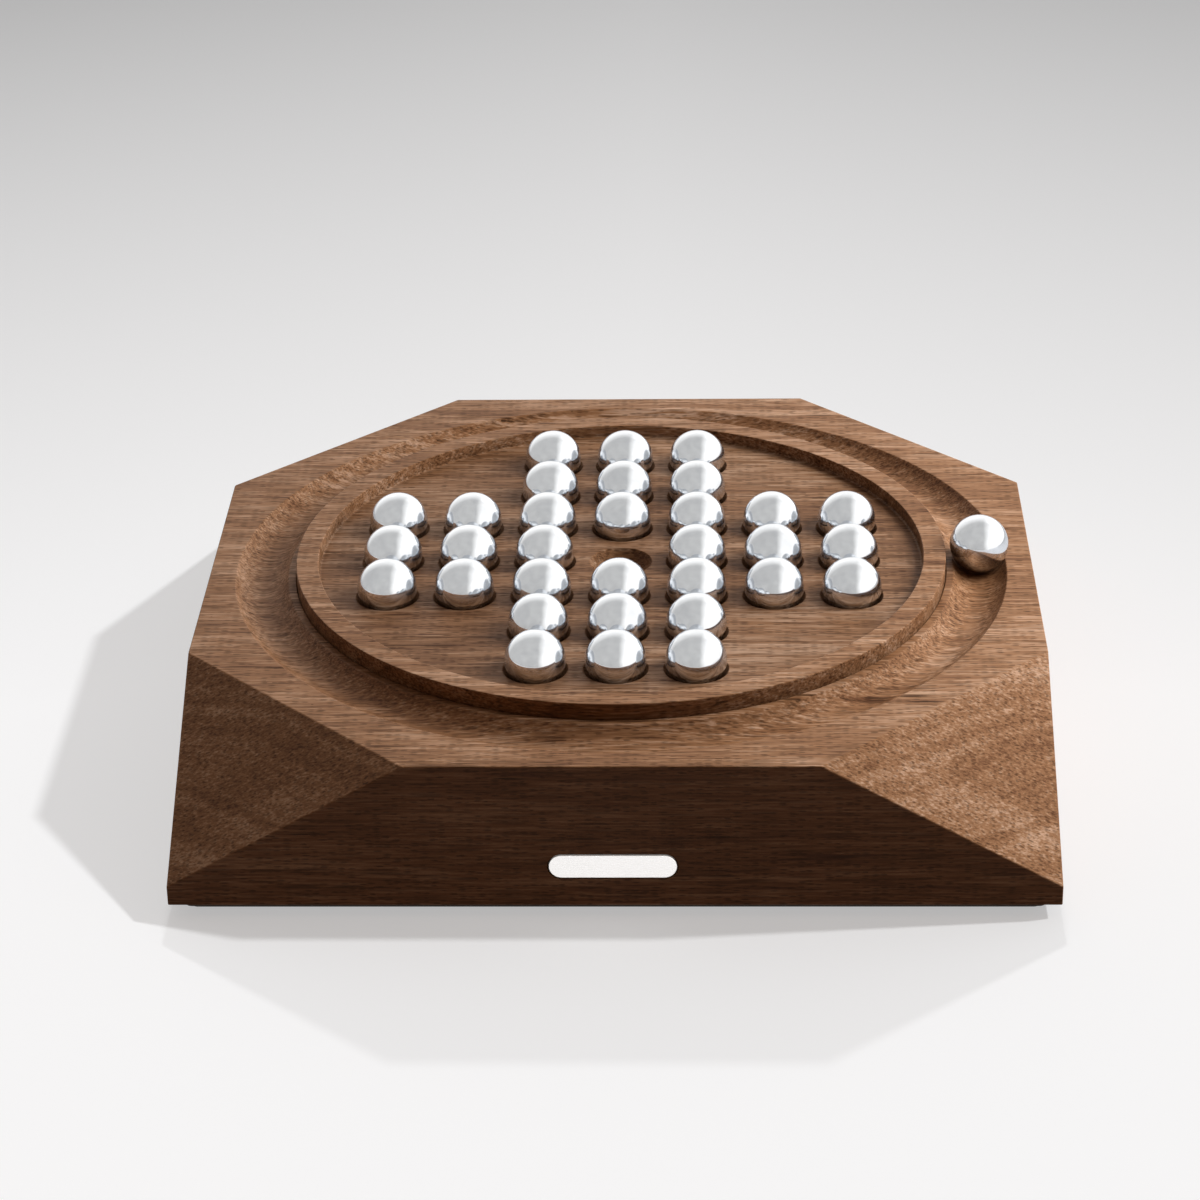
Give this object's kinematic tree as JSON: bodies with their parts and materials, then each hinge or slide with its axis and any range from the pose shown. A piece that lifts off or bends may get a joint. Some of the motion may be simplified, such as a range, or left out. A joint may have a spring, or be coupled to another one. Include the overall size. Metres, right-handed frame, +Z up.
{
  "type": "marble solitaire board",
  "caption": "Square hardwood solitaire board with cut corners, a turned tray of round cups, a capture groove and polished steel balls.",
  "frame": {"origin": "middle of the underside pad's bottom face, where the board stands on a table", "axes": "+Z up, the front face with the plaque towards -Y, +X to the right seen from the front"},
  "size_m": [0.35, 0.35, 0.087],
  "materials": {
    "block_wood": "satin oiled walnut",
    "tray_wood": "satin oiled walnut",
    "plate": "dark stained",
    "pad": "matte felt",
    "plaque": "satin",
    "ball": "mirror polished steel"
  },
  "bodies": {
    "board": {"block": "block_wood", "playing_tray": "tray_wood", "base_plate": "plate", "underside_pad": "pad", "plaque": "plaque"},
    "ball_row1_col3": {"ball_row1_col3": "ball"},
    "ball_row1_col4": {"ball_row1_col4": "ball"},
    "ball_row1_col5": {"ball_row1_col5": "ball"},
    "ball_row2_col3": {"ball_row2_col3": "ball"},
    "ball_row2_col4": {"ball_row2_col4": "ball"},
    "ball_row2_col5": {"ball_row2_col5": "ball"},
    "ball_row3_col1": {"ball_row3_col1": "ball"},
    "ball_row3_col2": {"ball_row3_col2": "ball"},
    "ball_row3_col3": {"ball_row3_col3": "ball"},
    "ball_row3_col4": {"ball_row3_col4": "ball"},
    "ball_row3_col5": {"ball_row3_col5": "ball"},
    "ball_row3_col6": {"ball_row3_col6": "ball"},
    "ball_row3_col7": {"ball_row3_col7": "ball"},
    "ball_row4_col1": {"ball_row4_col1": "ball"},
    "ball_row4_col2": {"ball_row4_col2": "ball"},
    "ball_row4_col3": {"ball_row4_col3": "ball"},
    "ball_row4_col5": {"ball_row4_col5": "ball"},
    "ball_row4_col6": {"ball_row4_col6": "ball"},
    "ball_row4_col7": {"ball_row4_col7": "ball"},
    "ball_row5_col1": {"ball_row5_col1": "ball"},
    "ball_row5_col2": {"ball_row5_col2": "ball"},
    "ball_row5_col3": {"ball_row5_col3": "ball"},
    "ball_row5_col4": {"ball_row5_col4": "ball"},
    "ball_row5_col5": {"ball_row5_col5": "ball"},
    "ball_row5_col6": {"ball_row5_col6": "ball"},
    "ball_row5_col7": {"ball_row5_col7": "ball"},
    "ball_row6_col3": {"ball_row6_col3": "ball"},
    "ball_row6_col4": {"ball_row6_col4": "ball"},
    "ball_row6_col5": {"ball_row6_col5": "ball"},
    "ball_row7_col3": {"ball_row7_col3": "ball"},
    "ball_row7_col4": {"ball_row7_col4": "ball"},
    "ball_row7_col5": {"ball_row7_col5": "ball"},
    "ball_captured": {"ball_captured": "ball"}
  },
  "joints": [
    {"name": "lift_row1_col3", "type": "slide", "parent": "board", "child": "ball_row1_col3", "axis": [0, 0, 1], "range_m": [0, 0.04]},
    {"name": "lift_row1_col4", "type": "slide", "parent": "board", "child": "ball_row1_col4", "axis": [0, 0, 1], "range_m": [0, 0.04]},
    {"name": "lift_row1_col5", "type": "slide", "parent": "board", "child": "ball_row1_col5", "axis": [0, 0, 1], "range_m": [0, 0.04]},
    {"name": "lift_row2_col3", "type": "slide", "parent": "board", "child": "ball_row2_col3", "axis": [0, 0, 1], "range_m": [0, 0.04]},
    {"name": "lift_row2_col4", "type": "slide", "parent": "board", "child": "ball_row2_col4", "axis": [0, 0, 1], "range_m": [0, 0.04]},
    {"name": "lift_row2_col5", "type": "slide", "parent": "board", "child": "ball_row2_col5", "axis": [0, 0, 1], "range_m": [0, 0.04]},
    {"name": "lift_row3_col1", "type": "slide", "parent": "board", "child": "ball_row3_col1", "axis": [0, 0, 1], "range_m": [0, 0.04]},
    {"name": "lift_row3_col2", "type": "slide", "parent": "board", "child": "ball_row3_col2", "axis": [0, 0, 1], "range_m": [0, 0.04]},
    {"name": "lift_row3_col3", "type": "slide", "parent": "board", "child": "ball_row3_col3", "axis": [0, 0, 1], "range_m": [0, 0.04]},
    {"name": "lift_row3_col4", "type": "slide", "parent": "board", "child": "ball_row3_col4", "axis": [0, 0, 1], "range_m": [0, 0.04]},
    {"name": "lift_row3_col5", "type": "slide", "parent": "board", "child": "ball_row3_col5", "axis": [0, 0, 1], "range_m": [0, 0.04]},
    {"name": "lift_row3_col6", "type": "slide", "parent": "board", "child": "ball_row3_col6", "axis": [0, 0, 1], "range_m": [0, 0.04]},
    {"name": "lift_row3_col7", "type": "slide", "parent": "board", "child": "ball_row3_col7", "axis": [0, 0, 1], "range_m": [0, 0.04]},
    {"name": "lift_row4_col1", "type": "slide", "parent": "board", "child": "ball_row4_col1", "axis": [0, 0, 1], "range_m": [0, 0.04]},
    {"name": "lift_row4_col2", "type": "slide", "parent": "board", "child": "ball_row4_col2", "axis": [0, 0, 1], "range_m": [0, 0.04]},
    {"name": "lift_row4_col3", "type": "slide", "parent": "board", "child": "ball_row4_col3", "axis": [0, 0, 1], "range_m": [0, 0.04]},
    {"name": "lift_row4_col5", "type": "slide", "parent": "board", "child": "ball_row4_col5", "axis": [0, 0, 1], "range_m": [0, 0.04]},
    {"name": "lift_row4_col6", "type": "slide", "parent": "board", "child": "ball_row4_col6", "axis": [0, 0, 1], "range_m": [0, 0.04]},
    {"name": "lift_row4_col7", "type": "slide", "parent": "board", "child": "ball_row4_col7", "axis": [0, 0, 1], "range_m": [0, 0.04]},
    {"name": "lift_row5_col1", "type": "slide", "parent": "board", "child": "ball_row5_col1", "axis": [0, 0, 1], "range_m": [0, 0.04]},
    {"name": "lift_row5_col2", "type": "slide", "parent": "board", "child": "ball_row5_col2", "axis": [0, 0, 1], "range_m": [0, 0.04]},
    {"name": "lift_row5_col3", "type": "slide", "parent": "board", "child": "ball_row5_col3", "axis": [0, 0, 1], "range_m": [0, 0.04]},
    {"name": "lift_row5_col4", "type": "slide", "parent": "board", "child": "ball_row5_col4", "axis": [0, 0, 1], "range_m": [0, 0.04]},
    {"name": "lift_row5_col5", "type": "slide", "parent": "board", "child": "ball_row5_col5", "axis": [0, 0, 1], "range_m": [0, 0.04]},
    {"name": "lift_row5_col6", "type": "slide", "parent": "board", "child": "ball_row5_col6", "axis": [0, 0, 1], "range_m": [0, 0.04]},
    {"name": "lift_row5_col7", "type": "slide", "parent": "board", "child": "ball_row5_col7", "axis": [0, 0, 1], "range_m": [0, 0.04]},
    {"name": "lift_row6_col3", "type": "slide", "parent": "board", "child": "ball_row6_col3", "axis": [0, 0, 1], "range_m": [0, 0.04]},
    {"name": "lift_row6_col4", "type": "slide", "parent": "board", "child": "ball_row6_col4", "axis": [0, 0, 1], "range_m": [0, 0.04]},
    {"name": "lift_row6_col5", "type": "slide", "parent": "board", "child": "ball_row6_col5", "axis": [0, 0, 1], "range_m": [0, 0.04]},
    {"name": "lift_row7_col3", "type": "slide", "parent": "board", "child": "ball_row7_col3", "axis": [0, 0, 1], "range_m": [0, 0.04]},
    {"name": "lift_row7_col4", "type": "slide", "parent": "board", "child": "ball_row7_col4", "axis": [0, 0, 1], "range_m": [0, 0.04]},
    {"name": "lift_row7_col5", "type": "slide", "parent": "board", "child": "ball_row7_col5", "axis": [0, 0, 1], "range_m": [0, 0.04]},
    {"name": "roll_captured", "type": "hinge", "parent": "board", "child": "ball_captured", "pos_m": [0, 0, 0.0677], "axis": [0, 0, 1], "continuous": true}
  ]
}
